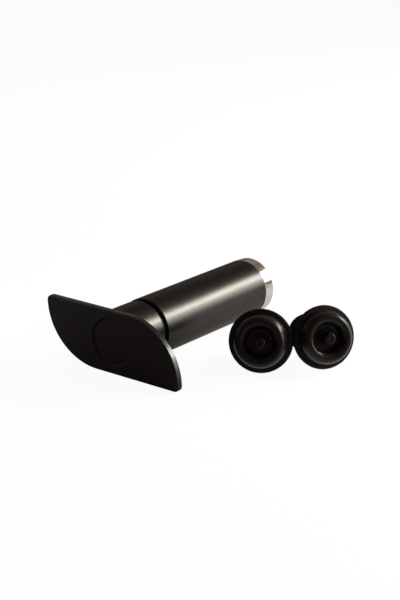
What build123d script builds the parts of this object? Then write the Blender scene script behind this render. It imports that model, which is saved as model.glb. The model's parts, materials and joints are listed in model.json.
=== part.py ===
# Wine vacuum pump with two bottle stoppers, lying on a table as a set.
# The pump lies on its side: the edge of its handle plate and the foot of its barrel touch the table.
# Sizes are in millimetres and angles in degrees.
import os
from math import asin, atan2, cos, degrees, radians, sin, sqrt

from build123d import *

# Stopper: its flange, its dome with a dish for the finger, and its release valve
flange_step = 2.8
flange_thickness = 3.0
flange_edge_round = 1.4
dome_outer_slope = 3.5
dome_inner_slope = 3.1
dome_crest_height = 8.2
dome_lip_drop = 1.8
dome_foot_round = 0.8
dome_lip_round = 0.5
dish_wall_slope = 1.2
dish_floor_width = 2.5
dish_floor_height = 2.0
dish_floor_thickness = 5.2
dish_corner = 1.0
nub_radius = 3.4
nub_stand = 1.6
nub_gap = 0.1
nub_dome_round = 2.2
nub_dimple_radius = 0.9
nub_dimple_depth = 0.5
collar_wall = 1.4
collar_height = 1.0
pinhole_offset = 0.5
pinhole_radius = 0.75
pinhole_depth = 4.6
pinhole_count = 3
plug_overlap = 1.0
plug_clearance = 0.7
plug_height = 1.4
chamber_step = 0.6
chamber_height = 4.0

# Stopper: its hollow stem and the ribs that bend in a bottle's neck
stem_wall = 2.6
stem_length = 29.5
stem_tip = 3.5
stem_end_round = 1.2
rib_reach = 3.3
rib_edge_round = 0.6
rib_height = 3.2
rib_pitch = 6.0
rib_count = 4

# Places of the two stoppers on the table, measured from the foot of the plate's face
stopper_a_right = 64.98
stopper_a_back = 52.14
stopper_a_azimuth = 31.5
stopper_a_first_pinhole = 96.6
stopper_b_right = 90.18
stopper_b_back = 77.94
stopper_b_azimuth = 55.6
stopper_b_first_pinhole = 99.1

# Outside of the pump, from the face of the handle plate to the mouth
plate_half_length = 48.2
plate_half_width = 18.6
plate_thickness = 4.0
plate_flat_reach = 11.5
plate_corner = 3.0
plate_edge_round = 0.7
neck_step = 0.35
neck_length = 22.4
groove_width = 3.4
barrel_length = 92.05
shadow_gap = 0.25
ring_length = 7.8
ring_taper = 0.35
ring_edge_round = 0.25
ring_lip = 0.7
ring_lip_height = 0.7
sheet = 0.8
sheet_edge_round = 0.35

# Mouth cup, its gasket and its seal
mouth_clearance = 0.5
mouth_headroom = 2.2
seal_wall = 1.0
seal_height = 3.7
cup_web = 3.0
cup_wall = 1.8
passage_margin = 0.9
passage_wall = 2.0
passage_length = 7.9
gasket_height = 1.0
strainer_circle_radius = 3.0
strainer_radius = 0.8
strainer_count = 6

# Cylinder and its inlet valve
jacket_gap = 2.2
cylinder_wall = 2.0
cylinder_floor = 3.0
running_gap = 0.05
inlet_radius = 0.9
inlet_web = 0.75
inlet_count = 4
valve_overlap = 1.4
valve_disc_height = 1.0
valve_stem_radius = 1.5
valve_lift = 0.8
valve_slack = 0.1
valve_bead_lip = 0.7
valve_bead_height = 1.1

# Piston, its floating ring and its screw
piston_side_gap = 0.2
piston_end_gap = 1.7
piston_top_land = 2.4
piston_bottom_land = 2.1
piston_socket_depth = 3.5
piston_web = 2.0
ring_section_radius = 1.3
ring_float = 0.8
ring_end_slack = 0.05
groove_floor_gap = 0.25
slot_width = 3.0
slot_count = 4
piston_screw_radius = 2.0
piston_screw_length = 13.0
piston_screw_head_radius = 3.6
piston_screw_head_height = 2.0
piston_screw_head_gap = 0.4

# Rod, and the bush that it slides and turns in
rod_radius = 4.5
rod_chamfer = 0.4
bush_wall = 2.35
bush_flange = 1.5
bush_flange_height = 1.2
bush_bead = 0.6
bush_bead_height = 0.85

# Guide cap at the top of the barrel, and its bumper
cap_stand = 2.2
cap_step = 1.1
cap_collar_height = 2.8
cap_web = 6.0
cap_skirt = 6.4
vent_radius = 0.9
vent_count = 4
bumper_margin = 0.8
bumper_width = 2.4
bumper_seat = 1.0

# Round recess of the plate, the disc that fills it and the screw that it hides
recess_radius = 13.35
recess_depth = 0.9
cover_thickness = 1.5
screw_radius = 2.5
screw_length = 14.0
screw_head_radius = 4.5
screw_head_height = 2.8
screw_socket_radius = 1.7
screw_socket_depth = 1.6
washer_radius = 5.0
washer_thickness = 0.8
washer_gap = 0.2
spigot_height = 5.0
spigot_floor = 2.0

# Core of the handle
core_recess = 0.4
core_floor = 3.0
core_wall = 1.8
core_hub_wall = 3.5
core_web = 2.0

# Stopper radii, from the nub in the middle outwards
collar_radius = nub_radius + nub_gap + collar_wall
dish_floor_radius = collar_radius + dish_floor_width
dome_lip_radius = dish_floor_radius + dish_wall_slope
dome_crest_radius = dome_lip_radius + dome_inner_slope
dome_foot_radius = dome_crest_radius + dome_outer_slope
flange_radius = dome_foot_radius + flange_step
pinhole_circle_radius = dome_lip_radius + pinhole_offset
plug_radius = nub_radius + nub_gap + plug_overlap
stem_bore_radius = plug_radius + plug_clearance
chamber_radius = stem_bore_radius + chamber_step
stem_radius = stem_bore_radius + stem_wall
rib_radius = stem_radius + rib_reach

# Stopper heights, from the top of the flange
dome_lip_height = dome_crest_height - dome_lip_drop
collar_top = dish_floor_height + collar_height
nub_height = dome_crest_height + nub_stand
valve_seat = dish_floor_height - dish_floor_thickness
chamber_start = valve_seat - chamber_height
stem_end = -flange_thickness - stem_length
last_rib = stem_end + stem_tip

# Pump radii: the mouth goes over a stopper's dome, and the metal goes round the mouth
mouth_radius = dome_foot_radius + mouth_clearance
sleeve_bore_radius = mouth_radius + seal_wall
barrel_radius = sleeve_bore_radius + sheet
ring_end_radius = barrel_radius - ring_taper
neck_radius = barrel_radius - neck_step
neck_bore_radius = neck_radius - sheet
cylinder_radius = sleeve_bore_radius - jacket_gap
bore_radius = cylinder_radius - cylinder_wall
piston_radius = bore_radius - piston_side_gap
ring_middle_radius = bore_radius - running_gap - ring_section_radius
groove_floor_radius = ring_middle_radius - ring_section_radius - groove_floor_gap
bush_radius = rod_radius + running_gap + bush_wall
cap_collar_radius = sleeve_bore_radius - cap_step
bumper_outer_radius = cap_collar_radius - bumper_margin
bumper_inner_radius = bumper_outer_radius - bumper_width
vent_circle_radius = (bush_radius + bush_flange + bumper_inner_radius) / 2
inlet_circle_radius = valve_stem_radius + running_gap + inlet_web + inlet_radius
valve_disc_radius = inlet_circle_radius + inlet_radius + valve_overlap
passage_radius = inlet_circle_radius + inlet_radius + passage_margin

# Distances along the pump's axis, from the face of the plate
spigot_end = plate_thickness + spigot_height
washer_end = spigot_end - spigot_floor
screw_seat = washer_end - washer_thickness
screw_top = screw_seat - screw_head_height
screw_end = screw_seat + screw_length
rod_start = spigot_end + core_web
neck_end = plate_thickness + neck_length
core_end = neck_end - core_recess
barrel_start = neck_end + groove_width
barrel_end = barrel_start + barrel_length
ring_start = barrel_end + shadow_gap
pump_length = ring_start + ring_length
seal_end = pump_length - ring_lip_height
seal_start = seal_end - seal_height
mouth_floor = pump_length - nub_height - mouth_headroom
cup_floor = mouth_floor - cup_web
cylinder_end = cup_floor - passage_length
cylinder_floor_start = cylinder_end - cylinder_floor
bead_start = cylinder_end + valve_lift + valve_slack
piston_end = cylinder_floor_start - valve_disc_height - piston_end_gap
groove_end = piston_end - piston_bottom_land
groove_start = groove_end - 2 * ring_section_radius - ring_float - 2 * ring_end_slack
piston_start = groove_start - piston_top_land
rod_end = piston_start + piston_socket_depth
piston_screw_seat = rod_end + piston_web
piston_screw_end = piston_screw_seat - piston_screw_length
cap_start = barrel_start - cap_stand
cap_web_end = cap_start + cap_web
bumper_seat_end = cap_start + bumper_seat
bush_end = cap_web_end + running_gap + bush_bead_height

# The mouth end leans down until the end ring's edge is on the table
lean = degrees(asin((plate_half_width - barrel_radius) / (ring_start - plate_thickness + plate_edge_round)))
lean_cos = cos(radians(lean))
lean_sin = sin(radians(lean))
axis_height = ((plate_half_width - plate_edge_round) * lean_cos
               + (plate_thickness - plate_edge_round) * lean_sin + plate_edge_round)

# A lying stopper rests on its flange and on its last rib
rest_run = flange_edge_round - flange_thickness - last_rib
rest_drop = flange_radius - flange_edge_round - rib_radius + rib_edge_round
rest_line = sqrt(rest_run ** 2 + rest_drop ** 2)
stopper_tilt = degrees(atan2(rest_drop, rest_run)
                       + asin((flange_edge_round - rib_edge_round) / rest_line))
stopper_height = ((flange_thickness - flange_edge_round) * sin(radians(stopper_tilt)) + flange_edge_round
                  + (flange_radius - flange_edge_round) * cos(radians(stopper_tilt)))

# The origin is on the table, in the middle of the box round the whole set
b_sideways = sin(radians(stopper_b_azimuth)) * cos(radians(stopper_tilt))
b_endways = sqrt(1 - b_sideways ** 2)
b_reach = dome_crest_radius * b_endways + sqrt(
    ((dome_foot_radius - dome_crest_radius) * b_endways) ** 2 + (dome_crest_height * b_sideways) ** 2)
pump_x = (plate_half_length - stopper_b_right - b_reach) / 2
pump_y = -(pump_length * lean_cos + ring_end_radius * lean_sin - plate_half_width * lean_sin) / 2

# The pump's plane has its origin on the plate's face, and its Z runs to the mouth
pump = Plane(origin=(pump_x, pump_y, axis_height), x_dir=(-1, 0, 0), z_dir=(0, lean_cos, -lean_sin))
section = Plane(origin=pump.origin, x_dir=pump.x_dir, z_dir=-pump.y_dir)
pump_axis = Axis(pump.origin, pump.z_dir)


def band(inner, outer, start, end, mode=Mode.ADD):
    """One rectangle of a turned section, between two radii and two places along the axis."""
    with Locations(((inner + outer) / 2, (start + end) / 2)):
        Rectangle(outer - inner, end - start, mode=mode)


def round_corner(radius, along, size):
    """Rounds the corner of a turned section that is nearest to a radius and a place along the axis."""
    fillet(vertices().sort_by_distance((radius, along, 0))[0], size)


def save(piece, name):
    """Names a finished piece and writes it."""
    piece.part.label = name
    export_step(piece.part, os.path.join("parts", name + ".step"))


os.makedirs("parts", exist_ok=True)

# Handle plate: a leaf of moulded plastic, the same when it is turned half round,
# with a spigot behind that fits in the neck and a stepped hole for the cover and the screw
with BuildPart() as handle_plate:
    with BuildSketch(pump):
        with BuildLine():
            leaf_end = EllipticalCenterArc(
                (plate_flat_reach, plate_half_width - plate_corner),
                plate_half_length - plate_flat_reach,
                2 * plate_half_width - plate_corner,
                start_angle=270,
                arc_size=90,
            )
            corner = CenterArc(
                (plate_half_length - plate_corner, plate_half_width - plate_corner),
                plate_corner,
                start_angle=0,
                arc_size=90,
            )
            edge = Line(corner @ 1, (-plate_flat_reach, plate_half_width))
            Line(edge @ 1, leaf_end @ 0)
        half_leaf = make_face()
        add(half_leaf.rotate(Axis.Z, 180))
    extrude(amount=plate_thickness)
    fillet(edges().filter_by(pump_axis, reverse=True), plate_edge_round)
    with BuildSketch(pump.offset(plate_thickness)):
        Circle(neck_bore_radius)
    extrude(amount=spigot_height)
    with BuildSketch(pump):
        Circle(recess_radius)
    extrude(amount=recess_depth + cover_thickness, mode=Mode.SUBTRACT)
    with BuildSketch(pump):
        Circle(washer_radius + washer_gap)
    extrude(amount=washer_end, mode=Mode.SUBTRACT)
    with BuildSketch(pump):
        Circle(screw_radius)
    extrude(amount=spigot_end, mode=Mode.SUBTRACT)
save(handle_plate, "handle_plate")

# Screw cover: a plain disc pressed into the plate's recess
with BuildPart() as screw_cover:
    with BuildSketch(pump.offset(recess_depth)):
        Circle(recess_radius)
    extrude(amount=cover_thickness)
save(screw_cover, "screw_cover")

# Handle screw and its washer: they clamp the plate and the core to the rod's end
with BuildPart() as handle_washer:
    with BuildSketch(pump.offset(screw_seat)):
        Circle(washer_radius)
        Circle(screw_radius, mode=Mode.SUBTRACT)
    extrude(amount=washer_thickness)
save(handle_washer, "handle_washer")

with BuildPart() as handle_screw:
    with BuildSketch(section):
        band(0, screw_head_radius, screw_top, screw_seat)
        band(0, screw_radius, screw_seat, screw_end)
    revolve(axis=pump_axis)
    with BuildSketch(pump.offset(screw_top)):
        RegularPolygon(screw_socket_radius, side_count=6)
    extrude(amount=screw_socket_depth, mode=Mode.SUBTRACT)
save(handle_screw, "handle_screw")

# Neck sleeve: a metal tube round the handle's core, with a rounded lip at the groove
with BuildPart() as neck_sleeve:
    with BuildSketch(section):
        band(neck_bore_radius, neck_radius, plate_thickness, neck_end)
        round_corner(neck_radius, neck_end, sheet_edge_round)
    revolve(axis=pump_axis)
save(neck_sleeve, "neck_sleeve")

# Handle core: a plastic cup inside the neck, with a hub that holds the rod
with BuildPart() as handle_core:
    with BuildSketch(section):
        band(0, neck_bore_radius, spigot_end, core_end)
        band(rod_radius + core_hub_wall, neck_bore_radius - core_wall, spigot_end, core_end - core_floor,
             Mode.SUBTRACT)
        band(0, rod_radius, rod_start, core_end, Mode.SUBTRACT)
        band(0, screw_radius, spigot_end, rod_start, Mode.SUBTRACT)
    revolve(axis=pump_axis)
save(handle_core, "handle_core")

# Piston rod: a polished steel bar, tapped at both ends
with BuildPart() as piston_rod:
    with BuildSketch(section):
        band(0, rod_radius, rod_start, rod_end)
        band(0, screw_radius, rod_start, screw_end, Mode.SUBTRACT)
        band(0, piston_screw_radius, piston_screw_end, rod_end, Mode.SUBTRACT)
        chamfer(vertices().sort_by_distance((rod_radius, rod_start, 0))[0], rod_chamfer)
    revolve(axis=pump_axis)
save(piston_rod, "piston_rod")

# Rod bush: it turns in the guide cap between its flange and its snap bead
with BuildPart() as rod_bush:
    with BuildSketch(section):
        band(rod_radius + running_gap, bush_radius, cap_start, bush_end)
        band(bush_radius, bush_radius + bush_flange, cap_start, cap_start + bush_flange_height)
        band(bush_radius, bush_radius + bush_bead, cap_web_end + running_gap, bush_end)
    revolve(axis=pump_axis)
save(rod_bush, "rod_bush")

# Guide cap: it closes the top of the barrel, carries the bush and the bumper,
# and lets the air out of the upper chamber through its vents
with BuildPart() as guide_cap:
    with BuildSketch(section):
        band(0, cap_collar_radius, cap_start, cap_start + cap_collar_height)
        band(0, sleeve_bore_radius, cap_start + cap_collar_height, cap_web_end + cap_skirt)
        band(0, cylinder_radius, cap_web_end, cap_web_end + cap_skirt, Mode.SUBTRACT)
        band(0, bush_radius + running_gap, cap_start, cap_web_end, Mode.SUBTRACT)
        band(0, bush_radius + bush_flange + running_gap, cap_start,
             cap_start + bush_flange_height + running_gap, Mode.SUBTRACT)
        band(bumper_inner_radius, bumper_outer_radius, cap_start, bumper_seat_end, Mode.SUBTRACT)
    revolve(axis=pump_axis)
    with BuildSketch(pump.offset(cap_start)):
        with PolarLocations(vent_circle_radius, vent_count):
            Circle(vent_radius)
    extrude(amount=cap_web, mode=Mode.SUBTRACT)
save(guide_cap, "guide_cap")

# Bumper: a rubber ring that the handle's core lands on
with BuildPart() as bumper_ring:
    with BuildSketch(section):
        band(bumper_inner_radius, bumper_outer_radius, core_end, bumper_seat_end)
    revolve(axis=pump_axis)
save(bumper_ring, "bumper_ring")

# Barrel sleeve: the outer metal tube that the hand holds
with BuildPart() as barrel_sleeve:
    with BuildSketch(section):
        band(sleeve_bore_radius, barrel_radius, barrel_start, barrel_end)
        round_corner(barrel_radius, barrel_start, sheet_edge_round)
    revolve(axis=pump_axis)
save(barrel_sleeve, "barrel_sleeve")

# Cylinder: the smooth bore that the piston works in, with the inlet holes in its floor
with BuildPart() as cylinder:
    with BuildSketch(section):
        band(0, cylinder_radius, cap_web_end, cylinder_end)
        band(0, sleeve_bore_radius, cylinder_floor_start, cylinder_end)
        band(0, bore_radius, cap_web_end, cylinder_floor_start, Mode.SUBTRACT)
        band(0, valve_stem_radius + running_gap, cylinder_floor_start, cylinder_end, Mode.SUBTRACT)
    revolve(axis=pump_axis)
    with BuildSketch(pump.offset(cylinder_floor_start)):
        with PolarLocations(inlet_circle_radius, inlet_count):
            Circle(inlet_radius)
    extrude(amount=cylinder_floor, mode=Mode.SUBTRACT)
save(cylinder, "cylinder")

# Inlet valve: a rubber disc on a stem, which lifts off the inlet holes on the pull stroke
with BuildPart() as inlet_valve:
    with BuildSketch(section):
        band(0, valve_disc_radius, cylinder_floor_start - valve_disc_height, cylinder_floor_start)
        band(0, valve_stem_radius, cylinder_floor_start, bead_start)
        band(0, valve_stem_radius + valve_bead_lip, bead_start, bead_start + valve_bead_height)
    revolve(axis=pump_axis)
save(inlet_valve, "inlet_valve")

# Piston: a grooved disc, slotted on the handle's side so that air can pass the ring
with BuildPart() as piston_head:
    with BuildSketch(section):
        band(0, piston_radius, piston_start, piston_end)
        band(groove_floor_radius, piston_radius, groove_start, groove_end, Mode.SUBTRACT)
        band(0, rod_radius, piston_start, rod_end, Mode.SUBTRACT)
        band(0, piston_screw_radius, rod_end, piston_end, Mode.SUBTRACT)
        band(0, piston_screw_head_radius + piston_screw_head_gap, piston_screw_seat, piston_end,
             Mode.SUBTRACT)
    revolve(axis=pump_axis)
    with BuildSketch(pump.offset(piston_start)):
        with PolarLocations(piston_radius, slot_count):
            Rectangle(2 * (piston_radius - groove_floor_radius), slot_width)
    extrude(amount=piston_top_land, mode=Mode.SUBTRACT)
save(piston_head, "piston_head")

# Piston ring: a round rubber ring that shifts in its groove and so works as the outlet valve
with BuildPart() as piston_ring:
    with BuildSketch(section):
        with Locations((ring_middle_radius, groove_start + ring_end_slack + ring_section_radius)):
            Circle(ring_section_radius)
    revolve(axis=pump_axis)
save(piston_ring, "piston_ring")

# Piston screw: it holds the piston to the rod
with BuildPart() as piston_screw:
    with BuildSketch(section):
        band(0, piston_screw_head_radius, piston_screw_seat, piston_screw_seat + piston_screw_head_height)
        band(0, piston_screw_radius, piston_screw_end, piston_screw_seat)
    revolve(axis=pump_axis)
    with BuildSketch(pump.offset(piston_screw_seat + piston_screw_head_height)):
        RegularPolygon(screw_socket_radius, side_count=6)
    extrude(amount=-screw_socket_depth, mode=Mode.SUBTRACT)
save(piston_screw, "piston_screw")

# Passage gasket: it seals the cylinder's floor to the passage of the mouth cup
with BuildPart() as passage_gasket:
    with BuildSketch(pump.offset(cylinder_end)):
        Circle(passage_radius + passage_wall)
        Circle(passage_radius, mode=Mode.SUBTRACT)
    extrude(amount=gasket_height)
save(passage_gasket, "passage_gasket")

# Mouth cup: the foot of the barrel, with the mouth that goes over a stopper,
# and a strainer in its floor that leads to the inlet valve
with BuildPart() as mouth_cup:
    with BuildSketch(section):
        band(0, sleeve_bore_radius, cylinder_end, seal_start)
        band(0, mouth_radius, mouth_floor, seal_start, Mode.SUBTRACT)
        band(0, sleeve_bore_radius - cup_wall, cylinder_end, cup_floor, Mode.SUBTRACT)
        band(passage_radius, passage_radius + passage_wall, cylinder_end + gasket_height, cup_floor)
    revolve(axis=pump_axis)
    with BuildSketch(pump.offset(cup_floor)):
        Circle(strainer_radius)
        with PolarLocations(strainer_circle_radius, strainer_count):
            Circle(strainer_radius)
    extrude(amount=cup_web, mode=Mode.SUBTRACT)
save(mouth_cup, "mouth_cup")

# Mouth seal: the rubber ring that closes on a stopper's dome
with BuildPart() as mouth_seal:
    with BuildSketch(section):
        band(mouth_radius, sleeve_bore_radius, seal_start, seal_end)
    revolve(axis=pump_axis)
save(mouth_seal, "mouth_seal")

# End ring: a polished band round the mouth, drawn in a little at its end, with a lip over the seal
with BuildPart() as end_ring:
    with BuildSketch(section):
        with BuildLine():
            Polyline(
                (sleeve_bore_radius, ring_start),
                (barrel_radius, ring_start),
                (ring_end_radius, pump_length),
                (sleeve_bore_radius - ring_lip, pump_length),
                (sleeve_bore_radius - ring_lip, seal_end),
                (sleeve_bore_radius, seal_end),
                close=True,
            )
        make_face()
        round_corner(ring_end_radius, pump_length, ring_edge_round)
    revolve(axis=pump_axis)
save(end_ring, "end_ring")


def stopper_plane(right, back, azimuth):
    """Plane of a lying stopper: Z is the way that it faces, and the origin is on its flange's top."""
    level = Vector(cos(radians(azimuth)), sin(radians(azimuth)), 0)
    ahead = Vector(sin(radians(azimuth)), -cos(radians(azimuth)), 0)
    facing = ahead * cos(radians(stopper_tilt)) + Vector(0, 0, 1) * sin(radians(stopper_tilt))
    return Plane(origin=(pump_x + right, pump_y + back, stopper_height), x_dir=level, z_dir=facing)


# Each stopper is a rubber moulding with a release valve in its middle
stoppers = {
    "a": (stopper_plane(stopper_a_right, stopper_a_back, stopper_a_azimuth), stopper_a_first_pinhole),
    "b": (stopper_plane(stopper_b_right, stopper_b_back, stopper_b_azimuth), stopper_b_first_pinhole),
}
for letter, (face, first_pinhole) in stoppers.items():
    profile = Plane(origin=face.origin, x_dir=face.x_dir, z_dir=-face.y_dir)
    stopper_axis = Axis(face.origin, face.z_dir)

    # The rubber: a flange, a dome with a dish for the finger, a chamber for the valve's plug
    # and a hollow ribbed stem
    with BuildPart() as stopper:
        with BuildSketch(profile):
            with BuildLine():
                outer_slope = EllipticalCenterArc(
                    (dome_crest_radius, 0),
                    dome_foot_radius - dome_crest_radius,
                    dome_crest_height,
                    start_angle=0,
                    arc_size=90,
                )
                inner_slope = TangentArc(outer_slope @ 1, (dome_lip_radius, dome_lip_height), tangent=(-1, 0))
                Polyline(
                    inner_slope @ 1,
                    (dish_floor_radius, dish_floor_height),
                    (0, dish_floor_height),
                    (0, -flange_thickness),
                    (flange_radius, -flange_thickness),
                    (flange_radius, 0),
                    outer_slope @ 0,
                )
            make_face()
            round_corner(flange_radius, -flange_thickness, flange_edge_round)
            round_corner(flange_radius, 0, flange_edge_round)
            round_corner(dome_foot_radius, 0, dome_foot_round)
            round_corner(dome_lip_radius, dome_lip_height, dome_lip_round)
            round_corner(dish_floor_radius, dish_floor_height, dish_corner)
            band(0, collar_radius, dish_floor_height, collar_top)
            round_corner(collar_radius, collar_top, collar_height / 2)
            band(0, stem_radius, stem_end, -flange_thickness)
            round_corner(stem_radius, stem_end, stem_end_round)
            band(0, stem_bore_radius, stem_end, chamber_start, Mode.SUBTRACT)
            band(0, chamber_radius, chamber_start, valve_seat, Mode.SUBTRACT)
            band(0, nub_radius + nub_gap, valve_seat, collar_top, Mode.SUBTRACT)
        revolve(axis=stopper_axis)
        for rib in range(rib_count):
            rib_middle = last_rib + rib * rib_pitch
            with BuildSketch(profile):
                with BuildLine():
                    Polyline(
                        (stem_radius - rib_edge_round, rib_middle - rib_edge_round),
                        (rib_radius, rib_middle - rib_edge_round),
                        (rib_radius, rib_middle + rib_edge_round),
                        (stem_radius - rib_edge_round, rib_middle + rib_height),
                        close=True,
                    )
                make_face()
                round_corner(rib_radius, rib_middle - rib_edge_round, rib_edge_round)
                round_corner(rib_radius, rib_middle + rib_edge_round, rib_edge_round)
            revolve(axis=stopper_axis)
        with BuildSketch(face.offset(dome_crest_height)):
            with PolarLocations(pinhole_circle_radius, pinhole_count, start_angle=first_pinhole):
                Circle(pinhole_radius)
        extrude(amount=-pinhole_depth, mode=Mode.SUBTRACT)
    save(stopper, "stopper_" + letter)

    # The release valve: a nub that the finger presses, with a plug under the dome's floor
    with BuildPart() as release_valve:
        with BuildSketch(profile):
            band(0, nub_radius, valve_seat, nub_height)
            round_corner(nub_radius, nub_height, nub_dome_round)
            band(0, nub_dimple_radius, nub_height - nub_dimple_depth, nub_height, Mode.SUBTRACT)
            band(0, plug_radius, valve_seat - plug_height, valve_seat)
        revolve(axis=stopper_axis)
    save(release_valve, "stopper_" + letter + "_valve")
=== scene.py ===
"""Looks of a hand vacuum pump for wine bottles and its two stoppers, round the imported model."""
import json
from math import asin, cos, pi, radians, sin, tau

import bmesh
import bpy
from mathutils import Matrix, Vector


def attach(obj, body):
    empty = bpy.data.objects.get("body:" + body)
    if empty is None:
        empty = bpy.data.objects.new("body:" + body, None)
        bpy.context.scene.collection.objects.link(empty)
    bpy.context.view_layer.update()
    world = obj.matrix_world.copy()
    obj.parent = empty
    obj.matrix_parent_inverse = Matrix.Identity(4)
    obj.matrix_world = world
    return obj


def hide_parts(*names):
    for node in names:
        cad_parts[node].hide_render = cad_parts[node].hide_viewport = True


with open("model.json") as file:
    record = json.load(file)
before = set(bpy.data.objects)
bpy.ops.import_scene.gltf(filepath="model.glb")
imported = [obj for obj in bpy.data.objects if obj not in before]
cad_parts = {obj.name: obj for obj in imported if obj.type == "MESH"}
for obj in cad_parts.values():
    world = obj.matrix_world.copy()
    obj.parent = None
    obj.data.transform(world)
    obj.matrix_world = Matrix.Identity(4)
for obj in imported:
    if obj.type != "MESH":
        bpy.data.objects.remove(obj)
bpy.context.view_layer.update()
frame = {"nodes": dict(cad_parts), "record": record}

MM = 0.001

# Places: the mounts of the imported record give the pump's axis and the axis of each stopper.
# Every turned piece is drawn in millimetres from its axis and along it, and set down there.
mounts = {mount["name"]: mount for mount in frame["record"]["mounts"]}


def standing_on(origin, axis):
    """Matrix to metres in the row frame from millimetres in a piece's own, with Z along its axis."""
    level = Vector((0, 0, 1)).cross(axis).normalized()
    turned = Matrix((level, axis.cross(level), axis)).transposed().to_4x4()
    return Matrix.Translation(origin) @ turned @ Matrix.Scale(MM, 4)


to_mouth = Vector(mounts["suction_mouth"]["axis"])
mouth = Vector(mounts["suction_mouth"]["pos_m"])
palm = Vector(mounts["palm_face"]["pos_m"])
pump = standing_on(mouth - to_mouth * to_mouth.dot(mouth - palm), to_mouth)

# Handle plate: a leaf of moulded ABS under a soft-touch paint, flat on the palm's side, with a
# shallow round recess in the middle and a spigot behind that is pressed into the neck.
plate_half_length = 48.2
plate_half_width = 18.6
plate_thickness = 4.0
plate_flat_reach = 11.5
plate_corner = 3.0
plate_edge_round = 0.7
plate_edge_segments = 7
plate_edge_fold = 60
recess_radius = 13.35
recess_depth = 0.9
recess_rim_width = 0.8
recess_rim_steps = 12
cover_thickness = 1.5
spigot_height = 5.0
spigot_radius = 16.35
screw_well_radius = 5.2
screw_well_depth = 7.0
screw_hole_radius = 2.5


def linear(code):
    """sRGB hex to a linear colour with alpha, by the curve of the sRGB standard."""
    parts = [int(code[i:i + 2], 16) / 255 for i in (1, 3, 5)]
    return [c / 12.92 if c <= 0.04045 else ((c + 0.055) / 1.055) ** 2.4 for c in parts] + [1]


def add_node(material, kind, settings=None, links=None):
    """Adds a node, gives it its settings and input values, and links its inputs."""
    node = material.node_tree.nodes.new(kind)
    for name, value in (settings or {}).items():
        if isinstance(name, int) or name in node.inputs:
            node.inputs[name].default_value = value
        else:
            setattr(node, name, value)
    for name, source in (links or {}).items():
        material.node_tree.links.new(source, node.inputs[name])
    return node


def new_material(name):
    """A material with an empty node tree."""
    material = bpy.data.materials.new(name)
    material.use_nodes = True
    material.node_tree.nodes.clear()
    return material


def rounded(corners, steps=5):
    """Outline with its corners rounded.

    A corner is its radius, its place along the axis, and how far from it the rounding starts. That
    is at most half of a side whose other end is rounded too, and otherwise nearly all of it.
    """
    half_side = 0.49
    whole_side = 0.98
    outline = []
    for i, (radius, along, reach) in enumerate(corners):
        corner = Vector((radius, along))
        if reach == 0:
            outline.append(corner)
            continue
        ends = []
        for j in (i - 1, (i + 1) % len(corners)):
            side = Vector(corners[j][:2]) - corner
            free_share = half_side if corners[j][2] > 0 else whole_side
            ends.append(corner + side.normalized() * min(reach, free_share * side.length))
        for k in range(steps + 1):
            t = k / steps
            outline.append(ends[0] * (1 - t) ** 2 + corner * 2 * t * (1 - t) + ends[1] * t ** 2)
    return outline


def turned(name, outline, place, steps=192):
    """Mesh object of an outline turned once round an axis, with UVs in millimetres round and along."""
    mesh = bmesh.new()
    uv = mesh.loops.layers.uv.new("millimetres")
    widest = max(point[0] for point in outline)
    run = [0.0]
    for i in range(len(outline)):
        run.append(run[-1] + (outline[(i + 1) % len(outline)] - outline[i]).length)
    columns = []
    for step in range(steps):
        angle = tau * step / steps
        column = []
        for j, (radius, along) in enumerate(outline):
            if radius == 0 and step > 0:
                column.append(columns[0][j])
            else:
                point = Vector((radius * cos(angle), radius * sin(angle), along))
                column.append(mesh.verts.new(place @ point))
        columns.append(column)
    for step in range(steps):
        this, after = columns[step], columns[(step + 1) % steps]
        for j in range(len(outline)):
            k = (j + 1) % len(outline)
            corners = [
                (this[j], step, j),
                (after[j], step + 1, j),
                (after[k], step + 1, j + 1),
                (this[k], step, j + 1),
            ]
            kept = []
            for corner in corners:
                if corner[0] not in [other[0] for other in kept]:
                    kept.append(corner)
            if len(kept) < 3:
                continue
            face = mesh.faces.new([corner[0] for corner in kept])
            for loop, (vert, turn, place_in_run) in zip(face.loops, kept):
                loop[uv].uv = (widest * tau * turn / steps, run[place_in_run])
    bmesh.ops.recalc_face_normals(mesh, faces=mesh.faces)
    return finished(name, mesh)


def finished(name, mesh):
    """Object of a finished mesh, smooth but for its sharp edges."""
    data = bpy.data.meshes.new(name)
    mesh.to_mesh(data)
    mesh.free()
    piece = bpy.data.objects.new(name, data)
    bpy.context.scene.collection.objects.link(piece)
    smooth_over(piece)
    return piece


def smooth_over(piece, sharp_from=32):
    """Shades a piece smooth, apart from its sharp edges, with normals that keep its flats flat."""
    piece.data.polygons.foreach_set("use_smooth", [True] * len(piece.data.polygons))
    piece.data.set_sharp_from_angle(angle=radians(sharp_from))
    weighted = piece.modifiers.new("weighted normals", "WEIGHTED_NORMAL")
    weighted.keep_sharp = True


def combine(piece, tool, operation):
    """Joins a tool's mesh to a piece or cuts it out of the piece, and removes the tool."""
    piece.modifiers.clear()
    step = piece.modifiers.new("combine", "BOOLEAN")
    step.operation = operation
    step.solver = "EXACT"
    step.object = tool
    tool.modifiers.clear()
    evaluated = piece.evaluated_get(bpy.context.evaluated_depsgraph_get())
    piece.data = bpy.data.meshes.new_from_object(evaluated)
    piece.modifiers.clear()
    bpy.data.objects.remove(tool)
    smooth_over(piece)


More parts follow.
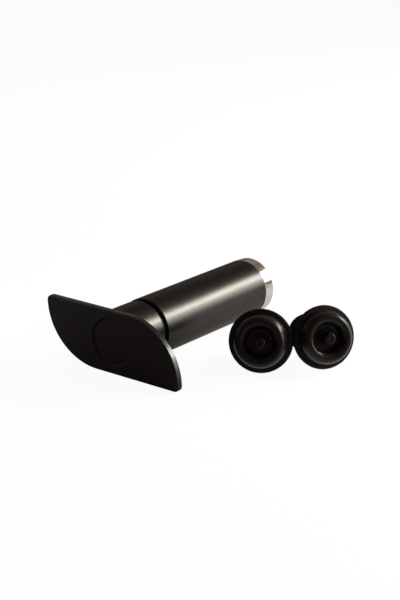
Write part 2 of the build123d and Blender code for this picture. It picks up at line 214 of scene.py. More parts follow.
def leaf_outline(curve_steps=72, corner_steps=8):
    """Leaf of the plate: a straight edge, an elliptical sweep and a round corner, twice."""
    sweep_centre = Vector((plate_flat_reach, plate_half_width - plate_corner))
    sweep = Vector((plate_half_length - plate_flat_reach, 2 * plate_half_width - plate_corner))
    half = []
    for i in range(curve_steps + 1):
        t = pi * (i / curve_steps - 1) / 2
        half.append(sweep_centre + Vector((sweep.x * cos(t), sweep.y * sin(t))))
    corner_centre = Vector((plate_half_length - plate_corner, plate_half_width - plate_corner))
    for i in range(1, corner_steps + 1):
        t = pi * i / corner_steps / 2
        half.append(corner_centre + plate_corner * Vector((cos(t), sin(t))))
    return half + [-point for point in half]


plate = bmesh.new()
leaf = plate.faces.new([plate.verts.new(pump @ Vector((x, y, 0))) for x, y in leaf_outline()])
walls = bmesh.ops.extrude_face_region(plate, geom=[leaf])["geom"]
bmesh.ops.translate(plate, vec=to_mouth * plate_thickness * MM,
                    verts=[item for item in walls if isinstance(item, bmesh.types.BMVert)])
bmesh.ops.recalc_face_normals(plate, faces=plate.faces)
rims = [edge for edge in plate.edges if edge.calc_face_angle() > radians(plate_edge_fold)]
bmesh.ops.bevel(plate, geom=rims, offset=plate_edge_round * MM, segments=plate_edge_segments,
                profile=0.5, affect="EDGES")
handle_plate = finished("soft_touch_plate", plate)
spigot_end = plate_thickness + spigot_height
combine(handle_plate, turned("spigot", [
    Vector((0, plate_thickness / 2)),
    Vector((spigot_radius, plate_thickness / 2)),
    Vector((spigot_radius, spigot_end)),
    Vector((0, spigot_end)),
], pump), "UNION")
recess_rim = []
for step in range(recess_rim_steps + 1):
    fall = step / recess_rim_steps
    recess_rim.append((recess_radius + recess_rim_width * (1 - fall),
                       recess_depth * (1 - cos(pi * fall)) / 2, 0))
combine(handle_plate, turned("recess_cutter", rounded([
    (0, -plate_thickness, 0),
    (recess_radius + recess_rim_width, -plate_thickness, 0),
    *recess_rim,
    (recess_radius, recess_depth + cover_thickness, 0),
    (screw_well_radius, recess_depth + cover_thickness, 0),
    (screw_well_radius, screw_well_depth, 0),
    (screw_hole_radius, screw_well_depth, 0),
    (screw_hole_radius, spigot_end + plate_thickness, 0),
    (0, spigot_end + plate_thickness, 0),
]), pump), "DIFFERENCE")
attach(handle_plate, "handle")
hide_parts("handle_plate")

# Soft-touch paint is a rubbery matt lacquer: it swallows light, shows a fine orange peel, holds a
# little dust, and is rubbed to a dull polish where the hand goes over an edge. The peel is drawn at
# 0.25 mm so that it shows.
paint_colour = "#251e20"
paint_bloom = "#352d2f"
peel_grain = 0.25
rub_clouds = 14.0
dust_spacing = 2.6
edge_rub_width = 0.9

soft_touch = new_material("soft_touch_painted_abs")
place = add_node(soft_touch, "ShaderNodeTexCoord")
clouds = add_node(soft_touch, "ShaderNodeTexNoise", {"Scale": 1 / (rub_clouds * MM), "Detail": 4.0},
                  {"Vector": place.outputs["Object"]})
peel = add_node(soft_touch, "ShaderNodeTexNoise", {"Scale": 1 / (peel_grain * MM), "Detail": 2.0},
                {"Vector": place.outputs["Object"]})
dust = add_node(soft_touch, "ShaderNodeTexVoronoi",
                {"Scale": 1 / (dust_spacing * MM), "Randomness": 1.0},
                {"Vector": place.outputs["Object"]})
speck = add_node(soft_touch, "ShaderNodeMapRange",
                 {"From Min": 0.05, "From Max": 0.03, "To Min": 0.0, "To Max": 0.35},
                 {"Value": dust.outputs["Distance"]})
tone = add_node(soft_touch, "ShaderNodeMix",
                {"data_type": "RGBA", 6: linear(paint_colour), 7: linear(paint_bloom)},
                {0: speck.outputs["Result"]})
surface = add_node(soft_touch, "ShaderNodeNewGeometry")
over_edge = add_node(soft_touch, "ShaderNodeBevel", {"samples": 4, "Radius": edge_rub_width * MM})
flatness = add_node(soft_touch, "ShaderNodeVectorMath", {"operation": "DOT_PRODUCT"},
                    {0: surface.outputs["Normal"], 1: over_edge.outputs["Normal"]})
rubbed = add_node(soft_touch, "ShaderNodeMapRange",
                  {"From Min": 0.995, "From Max": 0.90, "To Min": 0.0, "To Max": -0.28},
                  {"Value": flatness.outputs["Value"]})
matt = add_node(soft_touch, "ShaderNodeMapRange", {"To Min": 0.50, "To Max": 0.62},
                {"Value": clouds.outputs["Fac"]})
roughness = add_node(soft_touch, "ShaderNodeMath", {"operation": "ADD"},
                     {0: matt.outputs["Result"], 1: rubbed.outputs["Result"]})
bump = add_node(soft_touch, "ShaderNodeBump", {"Strength": 0.25, "Distance": 0.02 * MM},
                {"Height": peel.outputs["Fac"]})
shader = add_node(soft_touch, "ShaderNodeBsdfPrincipled", {"IOR": 1.46, "Specular IOR Level": 0.3},
                  {"Base Color": tone.outputs[2], "Roughness": roughness.outputs["Value"],
                   "Normal": bump.outputs["Normal"]})
add_node(soft_touch, "ShaderNodeOutputMaterial", links={"Surface": shader.outputs["BSDF"]})

# The paint is masked off the rim, so the plate's edge is bare moulded ABS, polished by the mould and
# by hands. Fine scuffs, drawn at 0.3 mm, break its shine.
bare_colour = "#1c1a19"
scuff_width = 0.3
shine_clouds = 7.0
rim_margin = 0.01
spigot_margin = 0.1

bare_rim = new_material("bare_moulded_abs_rim")
place = add_node(bare_rim, "ShaderNodeTexCoord")
scuffs = add_node(bare_rim, "ShaderNodeTexNoise", {"Scale": 1 / (scuff_width * MM), "Detail": 3.0},
                  {"Vector": place.outputs["Object"]})
clouds = add_node(bare_rim, "ShaderNodeTexNoise", {"Scale": 1 / (shine_clouds * MM), "Detail": 3.0},
                  {"Vector": place.outputs["Object"]})
shine = add_node(bare_rim, "ShaderNodeMapRange", {"To Min": 0.2, "To Max": 0.32},
                 {"Value": clouds.outputs["Fac"]})
bump = add_node(bare_rim, "ShaderNodeBump", {"Strength": 0.1, "Distance": 0.01 * MM},
                {"Height": scuffs.outputs["Fac"]})
shader = add_node(bare_rim, "ShaderNodeBsdfPrincipled",
                  {"IOR": 1.53, "Base Color": linear(bare_colour)},
                  {"Roughness": shine.outputs["Result"], "Normal": bump.outputs["Normal"]})
add_node(bare_rim, "ShaderNodeOutputMaterial", links={"Surface": shader.outputs["BSDF"]})


def give(piece, *materials):
    """Gives a piece its materials; all of it has the first until faces are told otherwise."""
    piece.data.materials.clear()
    for material in materials:
        piece.data.materials.append(material)


give(handle_plate, soft_touch, bare_rim)
from_pump = pump.inverted()
for face in handle_plate.data.polygons:
    middle = from_pump @ face.center
    between_faces = rim_margin < middle.z < plate_thickness - rim_margin
    off_spigot = middle.xy.length > spigot_radius + spigot_margin
    face.material_index = 1 if between_faces and off_spigot else 0

# Screw cover: a plain painted disc pressed into the recess, a hair smaller than it, so that a fine
# dark line shows round it. It hides the screw that holds the handle.
cover_gap = 0.05
cover_edge_round = 0.15
cover_radius = recess_radius - cover_gap
screw_cover = turned("screw_cover_disc", rounded([
    (0, recess_depth, 0),
    (cover_radius, recess_depth, cover_edge_round),
    (cover_radius, recess_depth + cover_thickness, 0),
    (0, recess_depth + cover_thickness, 0),
]), pump)
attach(screw_cover, "handle")
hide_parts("screw_cover")
give(screw_cover, soft_touch)

# Neck sleeve: a drawn aluminium tube over the handle's core, blasted and dyed a dark gunmetal grey,
# with its free edge at the groove rolled over.
neck_radius = 17.15
neck_bore_radius = 16.35
neck_length = 22.4
neck_lip_round = 0.4
neck_foot_round = 0.12
tube_steps = 256
neck_end = plate_thickness + neck_length
neck = turned("neck_tube", rounded([
    (neck_bore_radius, plate_thickness, 0),
    (neck_radius, plate_thickness, neck_foot_round),
    (neck_radius, neck_end, neck_lip_round),
    (neck_bore_radius, neck_end, neck_foot_round),
]), pump, tube_steps)
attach(neck, "handle")
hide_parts("neck_sleeve")

# Satin anodised aluminium: the blasting breaks reflections into a broad soft band, the dye darkens the
# metal, and the draw of the tube leaves faint lengthwise lines. The grain is drawn at 0.3 mm, coarser
# than real blasting, so that it shows. Sharp edges are rubbed a little brighter.
dyed_metal = "#474443"
worn_metal = "#85807c"
edge_tint = "#e2dedb"
blast_grain = 0.3
draw_line_width = 0.5
draw_line_length = 45.0
draw_line_relief = 0.5
handling_clouds = 22.0
edge_wear_width = 0.35

gunmetal = new_material("satin_anodised_aluminium")
place = add_node(gunmetal, "ShaderNodeTexCoord")
flat_map = add_node(gunmetal, "ShaderNodeUVMap", {"uv_map": "millimetres"})
line_scale = add_node(gunmetal, "ShaderNodeMapping",
                      {"Scale": (1 / draw_line_width, 1 / draw_line_length, 1)},
                      {"Vector": flat_map.outputs["UV"]})
lines = add_node(gunmetal, "ShaderNodeTexNoise", {"Scale": 1.0, "Detail": 2.0},
                 {"Vector": line_scale.outputs["Vector"]})
grain = add_node(gunmetal, "ShaderNodeTexNoise", {"Scale": 1 / (blast_grain * MM), "Detail": 2.0},
                 {"Vector": place.outputs["Object"]})
clouds = add_node(gunmetal, "ShaderNodeTexNoise", {"Scale": 1 / (handling_clouds * MM), "Detail": 3.0},
                  {"Vector": place.outputs["Object"]})
surface = add_node(gunmetal, "ShaderNodeNewGeometry")
over_edge = add_node(gunmetal, "ShaderNodeBevel", {"samples": 4, "Radius": edge_wear_width * MM})
flatness = add_node(gunmetal, "ShaderNodeVectorMath", {"operation": "DOT_PRODUCT"},
                    {0: surface.outputs["Normal"], 1: over_edge.outputs["Normal"]})
worn = add_node(gunmetal, "ShaderNodeMapRange",
                {"From Min": 0.985, "From Max": 0.85, "To Min": 0.0, "To Max": 0.7},
                {"Value": flatness.outputs["Value"]})
tone = add_node(gunmetal, "ShaderNodeMix",
                {"data_type": "RGBA", 6: linear(dyed_metal), 7: linear(worn_metal)},
                {0: worn.outputs["Result"]})
line_roughness = add_node(gunmetal, "ShaderNodeMapRange", {"To Min": -0.03, "To Max": 0.03},
                          {"Value": lines.outputs["Fac"]})
satin = add_node(gunmetal, "ShaderNodeMapRange", {"To Min": 0.27, "To Max": 0.33},
                 {"Value": clouds.outputs["Fac"]})
roughness = add_node(gunmetal, "ShaderNodeMath", {"operation": "ADD"},
                     {0: satin.outputs["Result"], 1: line_roughness.outputs["Result"]})
relief = add_node(gunmetal, "ShaderNodeMath", {"operation": "MULTIPLY_ADD", 1: draw_line_relief},
                  {0: lines.outputs["Fac"], 2: grain.outputs["Fac"]})
bump = add_node(gunmetal, "ShaderNodeBump", {"Strength": 0.12, "Distance": 0.01 * MM},
                {"Height": relief.outputs["Value"]})
shader = add_node(gunmetal, "ShaderNodeBsdfPrincipled",
                  {"Metallic": 1.0, "Specular Tint": linear(edge_tint)},
                  {"Base Color": tone.outputs[2], "Roughness": roughness.outputs["Value"],
                   "Normal": bump.outputs["Normal"]})
add_node(gunmetal, "ShaderNodeOutputMaterial", links={"Surface": shader.outputs["BSDF"]})
give(neck, gunmetal)

# Barrel sleeve: the tube that the hand holds, of the same drawn and anodised aluminium as the neck,
# with a rolled edge at the groove and a plain cut edge at the ring.
barrel_radius = 17.5
barrel_bore_radius = 16.7
groove_width = 3.4
barrel_length = 92.05
barrel_lip_round = 0.4
barrel_foot_round = 0.1
barrel_start = neck_end + groove_width
barrel_end = barrel_start + barrel_length
barrel = turned("barrel_tube", rounded([
    (barrel_bore_radius, barrel_start, barrel_foot_round),
    (barrel_radius, barrel_start, barrel_lip_round),
    (barrel_radius, barrel_end, barrel_foot_round),
    (barrel_bore_radius, barrel_end, 0),
]), pump, tube_steps)
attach(barrel, "barrel")
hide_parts("barrel_sleeve")
give(barrel, gunmetal)

# End ring: a band of stainless steel round the mouth, polished like a mirror, drawn in a little towards
# its end and turned over the seal. A fine dark gap parts it from the barrel.
shadow_gap = 0.25
ring_length = 7.8
ring_taper = 0.35
ring_lip = 0.7
ring_lip_height = 0.7
ring_edge_round = 0.3
ring_foot_round = 0.15
ring_start = barrel_end + shadow_gap
pump_length = ring_start + ring_length
ring = turned("mouth_ring", rounded([
    (barrel_bore_radius, ring_start, 0),
    (barrel_radius, ring_start, ring_foot_round),
    (barrel_radius - ring_taper, pump_length, ring_edge_round),
    (barrel_bore_radius - ring_lip, pump_length, ring_foot_round),
    (barrel_bore_radius - ring_lip, pump_length - ring_lip_height, 0),
    (barrel_bore_radius, pump_length - ring_lip_height, 0),
]), pump, tube_steps)
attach(ring, "barrel")
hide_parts("end_ring")

# Polished stainless steel: a nearly clean mirror, a little warm and a little grey, with buffing lines
# round the band and faint finger marks that dull it in patches. The lines are drawn at 0.12 mm.
steel_colour = "#dcd8d4"
buffing_line_width = 0.12
buffing_line_length = 100.0
finger_marks = 6.0

mirror_steel = new_material("polished_stainless_steel")
place = add_node(mirror_steel, "ShaderNodeTexCoord")
flat_map = add_node(mirror_steel, "ShaderNodeUVMap", {"uv_map": "millimetres"})
line_scale = add_node(mirror_steel, "ShaderNodeMapping",
                      {"Scale": (1 / buffing_line_length, 1 / buffing_line_width, 1)},
                      {"Vector": flat_map.outputs["UV"]})
lines = add_node(mirror_steel, "ShaderNodeTexNoise", {"Scale": 1.0, "Detail": 2.0},
                 {"Vector": line_scale.outputs["Vector"]})
marks = add_node(mirror_steel, "ShaderNodeTexNoise", {"Scale": 1 / (finger_marks * MM), "Detail": 5.0},
                 {"Vector": place.outputs["Object"]})
gloss = add_node(mirror_steel, "ShaderNodeMapRange",
                 {"From Min": 0.4, "From Max": 0.75, "To Min": 0.1, "To Max": 0.18},
                 {"Value": marks.outputs["Fac"]})
bump = add_node(mirror_steel, "ShaderNodeBump", {"Strength": 0.04, "Distance": 0.004 * MM},
                {"Height": lines.outputs["Fac"]})
shader = add_node(mirror_steel, "ShaderNodeBsdfPrincipled",
                  {"Metallic": 1.0, "Base Color": linear(steel_colour)},
                  {"Roughness": gloss.outputs["Result"], "Normal": bump.outputs["Normal"]})
add_node(mirror_steel, "ShaderNodeOutputMaterial", links={"Surface": shader.outputs["BSDF"]})
give(ring, mirror_steel)

# Mouth seal: a ring of nitrile rubber inside the mouth, which closes on the dome of a stopper.
mouth_radius = 15.7
seal_height = 3.7
seal_round = 0.35
seal_end = pump_length - ring_lip_height
seal = turned("mouth_seal_ring", rounded([
    (mouth_radius, seal_end - seal_height, 0),
    (mouth_radius, seal_end, seal_round),
    (barrel_bore_radius, seal_end, 0),
    (barrel_bore_radius, seal_end - seal_height, 0),
]), pump)
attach(seal, "barrel")
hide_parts("mouth_seal")

# Moulded rubber: black all through, with a satin skin from the mould. The skin scatters light at
# 0.2 mm, and a thin bloom of wax and dust greys it in clouds.
rubber_colour = "#1c1716"
rubber_bloom = "#292221"
skin_grain = 0.2
bloom_clouds = 5.0


def rubber(name, smoothest, roughest, shine):
    """Black moulded rubber whose skin runs from its smoothest to its roughest in clouds."""
    material = new_material(name)
    place = add_node(material, "ShaderNodeTexCoord")
    clouds = add_node(material, "ShaderNodeTexNoise", {"Scale": 1 / (bloom_clouds * MM), "Detail": 4.0},
                      {"Vector": place.outputs["Object"]})
    skin = add_node(material, "ShaderNodeTexNoise", {"Scale": 1 / (skin_grain * MM), "Detail": 2.0},
                    {"Vector": place.outputs["Object"]})
    tone = add_node(material, "ShaderNodeMix",
                    {"data_type": "RGBA", 6: linear(rubber_colour), 7: linear(rubber_bloom)},
                    {0: clouds.outputs["Fac"]})
    satin = add_node(material, "ShaderNodeMapRange", {"To Min": smoothest, "To Max": roughest},
                     {"Value": clouds.outputs["Fac"]})
    bump = add_node(material, "ShaderNodeBump", {"Strength": 0.2, "Distance": 0.02 * MM},
                    {"Height": skin.outputs["Fac"]})
    shader = add_node(material, "ShaderNodeBsdfPrincipled", {"IOR": 1.52, "Specular IOR Level": shine},
                      {"Base Color": tone.outputs[2], "Roughness": satin.outputs["Result"],
                       "Normal": bump.outputs["Normal"]})
    add_node(material, "ShaderNodeOutputMaterial", links={"Surface": shader.outputs["BSDF"]})
    return material


seal_rubber = rubber("nitrile_seal_rubber", smoothest=0.45, roughest=0.6, shine=0.25)
give(seal, seal_rubber)

# Stoppers: each is one moulding of soft black rubber, a flange for the bottle's lip, a dome with a
# dish and three vents, and a hollow stem with four bending ribs. The mould is polished at the dome
# and spark-eroded elsewhere, which leaves the rubber dull. Heights count from the flange's top.
flange_radius = 18.0
flange_thickness = 3.0
flange_edge_round = 1.4
parting_line = 0.06
dome_foot_radius = 15.2
dome_foot_round = 0.7
dome_crest_radius = 11.7
dome_crest_height = 8.2
dome_outer_steps = 9
dome_inner_steps = 6
dome_lip_radius = 8.6
dome_lip_height = 6.4
dome_lip_round = 0.4
dish_floor_radius = 7.4
dish_floor_height = 2.0
dish_corner = 1.0
collar_radius = 4.9
collar_top = 3.0
collar_round = 0.5
collar_foot_round = 0.2
nub_radius = 3.4
nub_hole_radius = 3.5
nub_hole_round = 0.15
valve_seat = -3.2
chamber_radius = 5.8
chamber_start = -7.2
stem_bore_radius = 5.2
stem_bore_round = 0.3
stem_radius = 7.8
stem_root_round = 0.6
stem_end = -32.5
stem_end_round = 1.2
rib_radius = 11.1
rib_root_round = 0.5
rib_foot_round = 0.3
rib_half_edge = 0.6
rib_height = 3.2
rib_pitch = 6.0
rib_count = 4
last_rib = -29.0
vent_circle_radius = 9.1
vent_radius = 0.75
vent_depth = 4.6
vent_count = 3
vent_steps = 24
first_vents = {"a": 96.6, "b": 99.1}
stopper_steps = 160

outer_slope = []
for step in range(1, dome_outer_steps):
    turn_up = pi / 2 * step / dome_outer_steps
    outer_slope.append((dome_crest_radius + (dome_foot_radius - dome_crest_radius) * cos(turn_up),
                        dome_crest_height * sin(turn_up), 0))
lip_run = dome_crest_radius - dome_lip_radius
lip_drop = dome_crest_height - dome_lip_height
inner_bend = (lip_run ** 2 + lip_drop ** 2) / (2 * lip_drop)
inner_sweep = asin(lip_run / inner_bend)
inner_slope = []
for step in range(dome_inner_steps):
    turn_in = inner_sweep * step / dome_inner_steps
    inner_slope.append((dome_crest_radius - inner_bend * sin(turn_in),
                        dome_crest_height - inner_bend * (1 - cos(turn_in)), 0))
rib_slant = (rib_radius - stem_radius) / (rib_radius - stem_radius + rib_half_edge)
ribs = []
for rib in reversed(range(rib_count)):
    middle = last_rib + rib * rib_pitch
    rib_root = middle + rib_half_edge + (rib_height - rib_half_edge) * rib_slant
    ribs += [
        (stem_radius, rib_root, rib_root_round),
        (rib_radius, middle + rib_half_edge, rib_half_edge),
        (rib_radius, middle - rib_half_edge, rib_half_edge),
        (stem_radius, middle - rib_half_edge, rib_foot_round),
    ]
flange_middle = -flange_thickness / 2
stopper_outline = rounded([
    (nub_hole_radius, valve_seat, 0),
    (nub_hole_radius, collar_top, nub_hole_round),
    (collar_radius, collar_top, collar_round),
    (collar_radius, dish_floor_height, collar_foot_round),
    (dish_floor_radius, dish_floor_height, dish_corner),
    (dome_lip_radius, dome_lip_height, dome_lip_round),
    *reversed(inner_slope),
    *reversed(outer_slope),
    (dome_foot_radius, 0, dome_foot_round),
    (flange_radius, 0, flange_edge_round),
    (flange_radius, flange_middle + parting_line, 0),
    (flange_radius + parting_line, flange_middle, 0),
    (flange_radius, flange_middle - parting_line, 0),
    (flange_radius, -flange_thickness, flange_edge_round),
    (stem_radius, -flange_thickness, stem_root_round),
    *ribs,
    (stem_radius, stem_end, stem_end_round),
    (stem_bore_radius, stem_end, stem_bore_round),
    (stem_bore_radius, chamber_start, 0),
    (chamber_radius, chamber_start, 0),
    (chamber_radius, valve_seat, 0),
])
stopper_rubber = rubber("satin_moulded_stopper_rubber", smoothest=0.24, roughest=0.32, shine=0.22)
flange_rubber = rubber("dull_moulded_flange_rubber", smoothest=0.55, roughest=0.7, shine=0.16)
stopper_places = {}
for letter, first_vent in first_vents.items():
    stem = mounts["stopper_" + letter + "_stem"]
    facing = -Vector(stem["axis"])
    flange_top = Vector(stem["pos_m"]) + facing * flange_thickness * MM
    stopper_places[letter] = standing_on(flange_top, facing)
    moulding = turned("stopper_moulding_" + letter, stopper_outline, stopper_places[letter],
                      stopper_steps)
    for vent in range(vent_count):
        angle = radians(first_vent + vent * 360 / vent_count)
        at = Vector((vent_circle_radius * cos(angle), vent_circle_radius * sin(angle), 0))
        combine(moulding, turned("vent_cutter", [
            Vector((0, dome_crest_height - vent_depth)),
            Vector((vent_radius, dome_crest_height - vent_depth)),
            Vector((vent_radius, dome_crest_height + vent_depth)),
            Vector((0, dome_crest_height + vent_depth)),
        ], stopper_places[letter] @ Matrix.Translation(at), vent_steps), "DIFFERENCE")
    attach(moulding, "stopper_" + letter)
    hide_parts("stopper_" + letter)
    give(moulding, stopper_rubber, flange_rubber)
    from_stopper = stopper_places[letter].inverted()
    for face in moulding.data.polygons:
        face.material_index = 1 if (from_stopper @ face.center).z < dome_foot_round / 2 else 0

# Release valves: a nub of the same rubber in the middle of each dish. A press lets air back into the
# bottle past the plug at its lower end. The nub has a small dimple from the mould.
nub_height = 9.8
nub_dome_round = 2.4
nub_curve_steps = 8
nub_steps = 96
dimple_radius = 0.9
dimple_depth = 0.5
dimple_lip_round = 0.15
dimple_floor_radius = dimple_radius * 0.6
dimple_floor_round = 0.3
plug_radius = 4.5
plug_height = 1.4
plug_foot_round = 0.3
plug_top_round = 0.2
nub_outline = rounded([
    (0, valve_seat - plug_height, 0),
    (plug_radius, valve_seat - plug_height, plug_foot_round),
    (plug_radius, valve_seat, plug_top_round),
    (nub_radius, valve_seat, 0),
    (nub_radius, nub_height, nub_dome_round),
    (dimple_radius, nub_height, dimple_lip_round),
    (dimple_floor_radius, nub_height - dimple_depth, dimple_floor_round),
    (0, nub_height - dimple_depth, 0),
], nub_curve_steps)
valve_rubber = rubber("satin_moulded_valve_rubber", smoothest=0.3, roughest=0.4, shine=0.16)
for letter, stopper_place in stopper_places.items():
    valve = turned("release_valve_" + letter, nub_outline, stopper_place, nub_steps)
    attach(valve, "nub_" + letter)
    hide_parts("stopper_" + letter + "_valve")
    give(valve, valve_rubber)

# Guide cap, handle core, mouth cup and piston: injection mouldings of black ABS, kept as packed. ABS
# has a low sheen, which ripples a little where it shrank on cooling, over the grain of a spark-eroded
# mould. The grain is drawn at 0.3 mm.
abs_colour = "#191817"
shrink_ripple = 4.0
spark_grain = 0.3

moulded_abs = new_material("moulded_black_abs")
place = add_node(moulded_abs, "ShaderNodeTexCoord")
ripple = add_node(moulded_abs, "ShaderNodeTexNoise", {"Scale": 1 / (shrink_ripple * MM), "Detail": 2.0},
                  {"Vector": place.outputs["Object"]})
spark = add_node(moulded_abs, "ShaderNodeTexNoise", {"Scale": 1 / (spark_grain * MM), "Detail": 2.0},
                 {"Vector": place.outputs["Object"]})
sheen = add_node(moulded_abs, "ShaderNodeMapRange", {"To Min": 0.34, "To Max": 0.46},
                 {"Value": ripple.outputs["Fac"]})
bump = add_node(moulded_abs, "ShaderNodeBump", {"Strength": 0.15, "Distance": 0.02 * MM},
                {"Height": spark.outputs["Fac"]})
shader = add_node(moulded_abs, "ShaderNodeBsdfPrincipled",
                  {"IOR": 1.53, "Base Color": linear(abs_colour)},
                  {"Roughness": sheen.outputs["Result"], "Normal": bump.outputs["Normal"]})
add_node(moulded_abs, "ShaderNodeOutputMaterial", links={"Surface": shader.outputs["BSDF"]})
for node in ("guide_cap", "handle_core", "mouth_cup", "piston_head"):
    give(frame["nodes"][node], moulded_abs)

# Rod: a ground and polished steel bar that slides in the bush. Grinding leaves fine rings round it,
# drawn at 0.15 mm, which stretch its highlights along the rod.
rod_colour = "#c4c1bd"
grinding_ring = 0.15
grinding_drift = 50.0

ground_steel = new_material("ground_steel_bar")
place = add_node(ground_steel, "ShaderNodeTexCoord")
ring_scale = add_node(ground_steel, "ShaderNodeMapping",
                      {"Scale": (1 / (grinding_drift * MM), 1 / (grinding_ring * MM),
                                 1 / (grinding_drift * MM))},
                      {"Vector": place.outputs["Object"]})
rings = add_node(ground_steel, "ShaderNodeTexNoise", {"Scale": 1.0, "Detail": 3.0},
                 {"Vector": ring_scale.outputs["Vector"]})
gloss = add_node(ground_steel, "ShaderNodeMapRange", {"To Min": 0.14, "To Max": 0.26},
                 {"Value": rings.outputs["Fac"]})
bump = add_node(ground_steel, "ShaderNodeBump", {"Strength": 0.1, "Distance": 0.005 * MM},
                {"Height": rings.outputs["Fac"]})
shader = add_node(ground_steel, "ShaderNodeBsdfPrincipled",
                  {"Metallic": 1.0, "Base Color": linear(rod_colour)},
                  {"Roughness": gloss.outputs["Result"], "Normal": bump.outputs["Normal"]})
add_node(ground_steel, "ShaderNodeOutputMaterial", links={"Surface": shader.outputs["BSDF"]})
give(frame["nodes"]["piston_rod"], ground_steel)

# Screws and washer: zinc-plated steel, bright but slightly clouded, because the grains of the
# plating, drawn at 0.8 mm, differ in tone and in polish.
zinc_bright = "#b9b8b4"
zinc_dull = "#8f9094"
zinc_speckle = 0.8

zinc_plate = new_material("zinc_plated_steel")
place = add_node(zinc_plate, "ShaderNodeTexCoord")
speckle = add_node(zinc_plate, "ShaderNodeTexVoronoi", {"Scale": 1 / (zinc_speckle * MM)},
                   {"Vector": place.outputs["Object"]})
tone = add_node(zinc_plate, "ShaderNodeMix",
                {"data_type": "RGBA", 6: linear(zinc_bright), 7: linear(zinc_dull)},
                {0: speckle.outputs["Distance"]})
gloss = add_node(zinc_plate, "ShaderNodeMapRange", {"To Min": 0.25, "To Max": 0.42},
                 {"Value": speckle.outputs["Distance"]})
shader = add_node(zinc_plate, "ShaderNodeBsdfPrincipled", {"Metallic": 1.0},
                  {"Base Color": tone.outputs[2], "Roughness": gloss.outputs["Result"]})
add_node(zinc_plate, "ShaderNodeOutputMaterial", links={"Surface": shader.outputs["BSDF"]})
for node in ("handle_screw", "handle_washer", "piston_screw"):
    give(frame["nodes"][node], zinc_plate)

# Bush: turned from natural nylon, a milky off-white with a waxy sheen, so light goes a little way
# in. The marks of the turning tool shade it at 0.4 mm.
nylon_colour = "#e6e0d2"
nylon_shade = "#d8d0bd"
tool_marks = 0.4

nylon = new_material("natural_nylon")
place = add_node(nylon, "ShaderNodeTexCoord")
wax = add_node(nylon, "ShaderNodeTexNoise", {"Scale": 1 / (tool_marks * MM), "Detail": 3.0},
               {"Vector": place.outputs["Object"]})
tone = add_node(nylon, "ShaderNodeMix",
                {"data_type": "RGBA", 6: linear(nylon_colour), 7: linear(nylon_shade)},
                {0: wax.outputs["Fac"]})
sheen = add_node(nylon, "ShaderNodeMapRange", {"To Min": 0.35, "To Max": 0.5},
                 {"Value": wax.outputs["Fac"]})
shader = add_node(nylon, "ShaderNodeBsdfPrincipled",
                  {"IOR": 1.53, "Subsurface Weight": 0.15, "Subsurface Scale": 1.0 * MM},
                  {"Base Color": tone.outputs[2], "Roughness": sheen.outputs["Result"]})
add_node(nylon, "ShaderNodeOutputMaterial", links={"Surface": shader.outputs["BSDF"]})
give(frame["nodes"]["rod_bush"], nylon)

# Cylinder: moulded from smoke-grey SAN, a hard clear plastic that the piston's ring slides in, with a
# mirror-smooth bore and faint flow lines along it.
san_colour = "#8f9396"
flow_line_width = 1.2
flow_line_length = 40.0

san = new_material("smoke_grey_san")
place = add_node(san, "ShaderNodeTexCoord")
flow_scale = add_node(san, "ShaderNodeMapping",
                      {"Scale": (1 / (flow_line_width * MM), 1 / (flow_line_length * MM),
                                 1 / (flow_line_width * MM))},
                      {"Vector": place.outputs["Object"]})
flow = add_node(san, "ShaderNodeTexNoise", {"Scale": 1.0, "Detail": 2.0},
                {"Vector": flow_scale.outputs["Vector"]})
gloss = add_node(san, "ShaderNodeMapRange", {"To Min": 0.08, "To Max": 0.2},
                 {"Value": flow.outputs["Fac"]})
shader = add_node(san, "ShaderNodeBsdfPrincipled",
                  {"IOR": 1.57, "Transmission Weight": 0.6, "Base Color": linear(san_colour)},
                  {"Roughness": gloss.outputs["Result"]})
add_node(san, "ShaderNodeOutputMaterial", links={"Surface": shader.outputs["BSDF"]})
give(frame["nodes"]["cylinder"], san)

# Inner seals: the bumper, the piston ring, the gasket and the inlet valve are of moulded rubber too,
# kept as packed, since none of them shows a shape that the eye could follow.
for node in ("bumper_ring", "piston_ring", "passage_gasket"):
    give(frame["nodes"][node], seal_rubber)
give(frame["nodes"]["inlet_valve"], valve_rubber)

# Floor: a pale sheet that runs past the view on every side. It shows white to the camera. Metal and
# clear plastic see it white only round a painted pool of light behind the stoppers, a glow that stands
# in for the key light falling hottest there. It keeps the object's soft shadow.
floor_drop = 0.05
floor_half_side = 6.0
floor_colour = "#b4b4b3"
floor_glow = 1.24
seen_share = 0.76
mirrored_share = 0.5
# Painted pool of light: the glow that metal and clear plastic see is strongest round this spot and
# fades out between 8 and 15 cm from it.
painted_light_pool = (0.085, 0.07, 0)
mirror_fades_from = 0.08
mirror_fades_to = 0.15
floor_mesh = bmesh.new()
floor_mesh.faces.new([floor_mesh.verts.new((x * floor_half_side, y * floor_half_side, -floor_drop * MM))
                      for x, y in ((-1, -1), (1, -1), (1, 1), (-1, 1))])
floor = finished("pale_floor", floor_mesh)
paper = new_material("pale_paper_sweep")
sight = add_node(paper, "ShaderNodeLightPath")
mirrored = add_node(paper, "ShaderNodeMath", {"operation": "MAXIMUM"},
                    {0: sight.outputs["Is Glossy Ray"], 1: sight.outputs["Is Transmission Ray"]})
place = add_node(paper, "ShaderNodeTexCoord")
reach = add_node(paper, "ShaderNodeVectorMath", {"operation": "DISTANCE", 1: painted_light_pool},
                 {0: place.outputs["Object"]})
near = add_node(paper, "ShaderNodeMapRange",
                {"From Min": mirror_fades_from, "From Max": mirror_fades_to, "To Min": mirrored_share,
                 "To Max": 0.0},
                {"Value": reach.outputs["Value"]})
mirrored = add_node(paper, "ShaderNodeMath", {"operation": "MULTIPLY"},
                    {0: mirrored.outputs["Value"], 1: near.outputs["Result"]})
share = add_node(paper, "ShaderNodeMath", {"operation": "MULTIPLY_ADD", 1: seen_share},
                 {0: sight.outputs["Is Camera Ray"], 2: mirrored.outputs["Value"]})
lit = add_node(paper, "ShaderNodeBsdfDiffuse", {"Color": linear(floor_colour)})
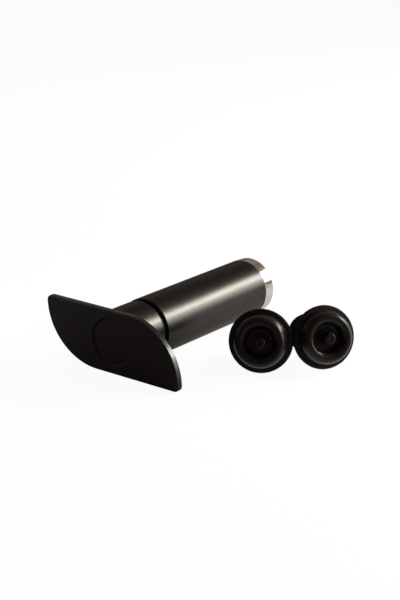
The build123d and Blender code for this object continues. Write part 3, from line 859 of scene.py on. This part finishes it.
glow = add_node(paper, "ShaderNodeEmission", {"Strength": floor_glow})
both = add_node(paper, "ShaderNodeMixShader",
                links={0: share.outputs["Value"], 1: lit.outputs["BSDF"], 2: glow.outputs["Emission"]})
add_node(paper, "ShaderNodeOutputMaterial", links={"Surface": both.outputs["Shader"]})
give(floor, paper)

# Light: a large softbox behind the object on the right, low enough to draw a long band along the
# barrel, weak panels before the plate's left end, behind the barrel and low on the right, and a dim
# warm studio, which metal mirrors and which the camera and clear plastic see as white.

# A lamp has its azimuth and elevation in degrees, its distance, width and height in metres, and its
# power in watts.
lamps = {
    "softbox": (146.0, 19.5, 0.95, 1.2, 0.37, 5.9),
    "softbox_core": (146.0, 26.5, 0.95, 0.5, 0.17, 5.0),
    "front_panel": (-60.0, 12.0, 0.2, 0.2, 0.12, 0.03),
    "back_panel": (225.0, 22.0, 0.95, 1.0, 0.4, 0.15),
    "side_panel": (118.0, 6.0, 0.8, 0.3, 0.25, 0.8),
}
lamp_colour = (0.97, 1.0, 0.905)
aim_height = 20.0
dim_wall = "#605855"
lit_wall = "#8e8076"
backdrop_colour = "#fbfbfa"


def direction(azimuth, elevation):
    """Unit vector towards an azimuth, counted from the front to the right, and an elevation."""
    level = cos(radians(elevation))
    return Vector((sin(radians(azimuth)) * level, -cos(radians(azimuth)) * level,
                   sin(radians(elevation))))


aim = Vector((0, 0, aim_height * MM))
for name, (azimuth, elevation, distance, width, height, power) in lamps.items():
    panel = bpy.data.lights.new(name, "AREA")
    panel.shape = "RECTANGLE"
    panel.size = width
    panel.size_y = height
    panel.color = lamp_colour
    panel.energy = power
    lamp = bpy.data.objects.new(name, panel)
    lamp.location = aim + direction(azimuth, elevation) * distance
    lamp.rotation_euler = (aim - lamp.location).to_track_quat("-Z", "Y").to_euler()
    bpy.context.scene.collection.objects.link(lamp)

studio = bpy.data.worlds.new("dim_studio")
studio.use_nodes = True
studio.node_tree.nodes.clear()
sky = add_node(studio, "ShaderNodeTexCoord")
towards_key = add_node(studio, "ShaderNodeVectorMath",
                       {"operation": "DOT_PRODUCT", 1: direction(*lamps["softbox"][:2])},
                       {0: sky.outputs["Generated"]})
lit_share = add_node(studio, "ShaderNodeMapRange",
                     {"From Min": 0.5, "From Max": 0.95, "To Min": 0.0, "To Max": 1.0},
                     {"Value": towards_key.outputs["Value"]})
walls = add_node(studio, "ShaderNodeMix",
                 {"data_type": "RGBA", 6: linear(dim_wall), 7: linear(lit_wall)},
                 {0: lit_share.outputs["Result"]})
sight = add_node(studio, "ShaderNodeLightPath")
seen = add_node(studio, "ShaderNodeMath", {"operation": "MAXIMUM"},
                {0: sight.outputs["Is Camera Ray"], 1: sight.outputs["Is Transmission Ray"]})
backdrop = add_node(studio, "ShaderNodeMix", {"data_type": "RGBA", 7: linear(backdrop_colour)},
                    {0: seen.outputs["Value"], 6: walls.outputs[2]})
air = add_node(studio, "ShaderNodeBackground", {"Strength": 1.0}, {"Color": backdrop.outputs[2]})
add_node(studio, "ShaderNodeOutputWorld", links={"Surface": air.outputs["Background"]})
bpy.context.scene.world = studio
bpy.context.scene.view_settings.view_transform = "Standard"

# Camera: at the height and side from which the pump was photographed, with a lens of 84 mm on a frame
# whose long side is 36 mm, and level but for a turn of about a degree. Its place is counted from the
# middle of the plate's face.
camera_from_plate = Vector((498.098, -532.248, 273.907))
camera_azimuth = 39.159
camera_elevation = 18.970
camera_roll = -1.096
focal_length = 84.005
frame_long_side = 36.0
lens = bpy.data.cameras.new("camera")
lens.lens = focal_length
lens.sensor_width = frame_long_side
camera = bpy.data.objects.new("camera", lens)
camera.matrix_world = (Matrix.Translation(pump.translation + camera_from_plate * MM)
                       @ Matrix.Rotation(radians(camera_azimuth), 4, "Z")
                       @ Matrix.Rotation(radians(90 - camera_elevation), 4, "X")
                       @ Matrix.Rotation(radians(camera_roll), 4, "Z"))
bpy.context.scene.collection.objects.link(camera)
bpy.context.scene.camera = camera
